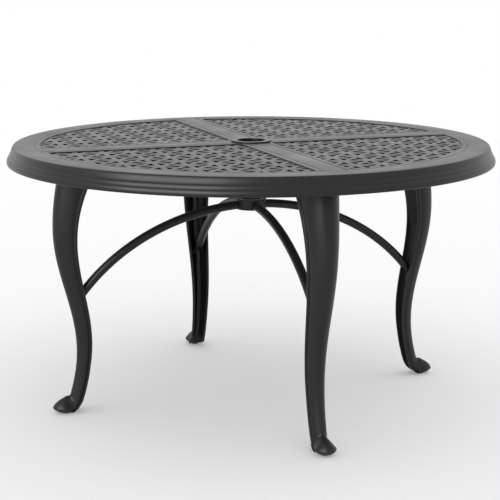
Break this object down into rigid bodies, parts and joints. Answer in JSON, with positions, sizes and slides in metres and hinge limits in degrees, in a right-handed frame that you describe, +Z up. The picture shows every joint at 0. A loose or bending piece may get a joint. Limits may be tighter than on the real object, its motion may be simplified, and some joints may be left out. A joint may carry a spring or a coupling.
{
  "type": "round outdoor coffee table",
  "caption": "Round cast coffee table with a lattice top, reeded edge, umbrella hole and S-curved legs tied by arched braces to a central hub.",
  "frame": {"origin": "on the floor under the middle of the round top", "axes": "+Z up; the spokes and legs lie on +X, +Y, -X and -Y, and the picture looks from between -X and -Y, closer to -Y"},
  "size_m": [1.0667, 1.0668, 0.581],
  "materials": {
    "powder_coat": "charcoal powder coat, satin",
    "lattice_coat": "charcoal powder coat, satin",
    "ring_coat": "charcoal powder coat, satin",
    "glide_plastic": "dark grey nylon, matte",
    "fastener_steel": "zinc plated, satin"
  },
  "bodies": {
    "table": {"top_frame": "powder_coat", "brace_hub": "powder_coat", "panel_back_right": "lattice_coat", "panel_back_left": "lattice_coat", "panel_front_left": "lattice_coat", "panel_front_right": "lattice_coat", "leg_right": "powder_coat", "brace_right": "powder_coat", "leg_back": "powder_coat", "brace_back": "powder_coat", "leg_left": "powder_coat", "brace_left": "powder_coat", "leg_front": "powder_coat", "brace_front": "powder_coat", "leg_bolts": "fastener_steel", "leg_washers": "fastener_steel", "panel_screws": "fastener_steel", "brace_bolts": "fastener_steel", "brace_nuts": "fastener_steel", "hub_screws": "fastener_steel"},
    "ring": {"umbrella_ring": "ring_coat"},
    "glide_right": {"glide_right": "glide_plastic"},
    "glide_back": {"glide_back": "glide_plastic"},
    "glide_left": {"glide_left": "glide_plastic"},
    "glide_front": {"glide_front": "glide_plastic"}
  },
  "joints": [
    {"name": "ring_lift", "type": "slide", "parent": "table", "child": "ring", "axis": [0, 0, 1], "range_m": [0, 0.03]},
    {"name": "level_right", "type": "slide", "parent": "table", "child": "glide_right", "axis": [0, 0, -1], "range_m": [0, 0.008]},
    {"name": "level_back", "type": "slide", "parent": "table", "child": "glide_back", "axis": [0, 0, -1], "range_m": [0, 0.008]},
    {"name": "level_left", "type": "slide", "parent": "table", "child": "glide_left", "axis": [0, 0, -1], "range_m": [0, 0.008]},
    {"name": "level_front", "type": "slide", "parent": "table", "child": "glide_front", "axis": [0, 0, -1], "range_m": [0, 0.008]}
  ]
}
